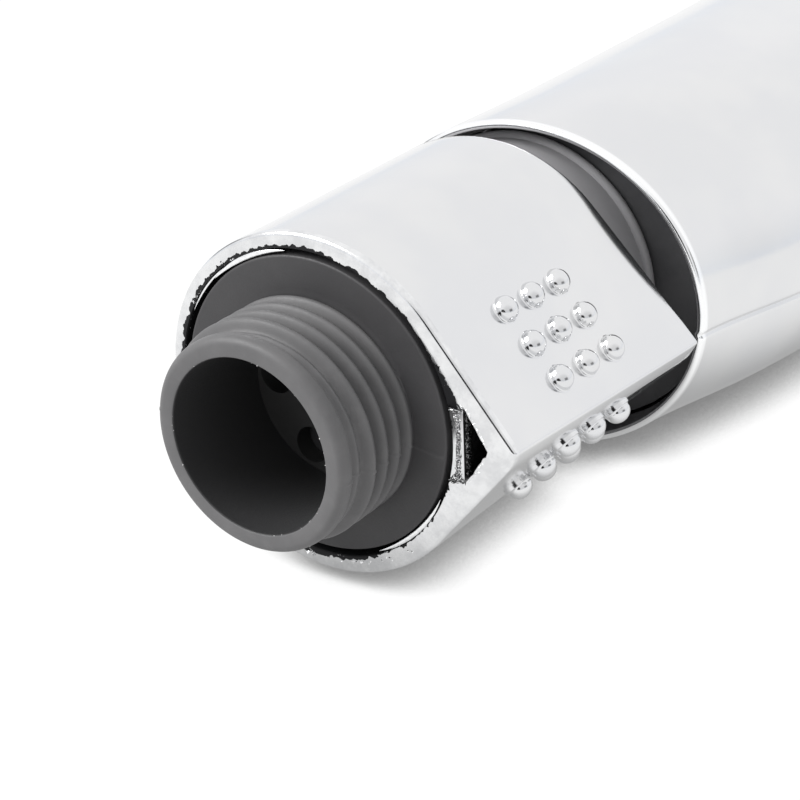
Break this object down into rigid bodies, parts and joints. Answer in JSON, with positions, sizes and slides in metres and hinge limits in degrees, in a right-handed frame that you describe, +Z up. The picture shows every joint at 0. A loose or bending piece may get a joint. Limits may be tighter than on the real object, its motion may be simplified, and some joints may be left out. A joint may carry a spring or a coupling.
{
  "type": "handheld bath sprayer",
  "caption": "Handheld bath sprayer for washing pets: threaded hose inlet, rotating lever collar that opens the valve, oval chrome handle and an elongated spray head.",
  "frame": {"origin": "centre of the inlet mouth, on the inlet axis", "axes": "+Y along the inlet axis from the mouth towards the spray head, +X towards the lever corner and the spray face, +Z up with the sprayer lying on its side"},
  "size_m": [0.0468, 0.2297, 0.0352],
  "materials": {
    "grey_plastic": "moulded grey thermoplastic, satin, with fine mould lines",
    "dark_plastic": "moulded dark grey thermoplastic, satin",
    "white_acetal": "natural acetal, smooth",
    "spring_steel": "stainless spring steel",
    "chrome_plating": "bright chrome plating on plastic with faint mottling",
    "black_rubber": "nitrile rubber, smooth",
    "disc_ceramic": "lapped alumina ceramic",
    "tip_silicone": "soft silicone, satin"
  },
  "bodies": {
    "handle": {"inlet_stem": "grey_plastic", "strainer_plate": "grey_plastic", "check_valve_cage": "dark_plastic", "collar_clip_front": "spring_steel", "collar_clip_rear": "spring_steel", "ceramic_disc_fixed": "disc_ceramic", "disc_seal": "black_rubber", "valve_tailpiece": "white_acetal", "neck_o_ring": "black_rubber", "neck_bulkhead": "dark_plastic", "neck_clip": "spring_steel", "shell_upper": "chrome_plating", "shell_lower": "chrome_plating", "water_tube": "white_acetal", "tube_o_ring_front": "black_rubber", "tube_o_ring_rear": "black_rubber", "head_manifold": "dark_plastic", "face_gasket": "black_rubber", "nozzle_mat": "tip_silicone", "spray_plate": "grey_plastic", "face_bezel": "chrome_plating", "face_screw_near": "spring_steel", "face_screw_far": "spring_steel"},
    "collar": {"control_collar": "chrome_plating", "drive_key": "spring_steel", "valve_rotor": "white_acetal", "rotor_o_ring": "black_rubber", "ceramic_disc_moving": "disc_ceramic"},
    "poppet": {"check_poppet": "dark_plastic", "check_spring": "spring_steel"}
  },
  "joints": [
    {"name": "collar_turn", "type": "hinge", "parent": "handle", "child": "collar", "pos_m": [0, 0.024, 0], "axis": [0, -1, 0], "range_deg": [0, 90]},
    {"name": "poppet_slide", "type": "slide", "parent": "handle", "child": "poppet", "axis": [0, 1, 0], "range_m": [0, 0.002], "stiffness_N_per_m": 150, "springref_m": -0.003, "deforming": ["check_spring"]}
  ]
}
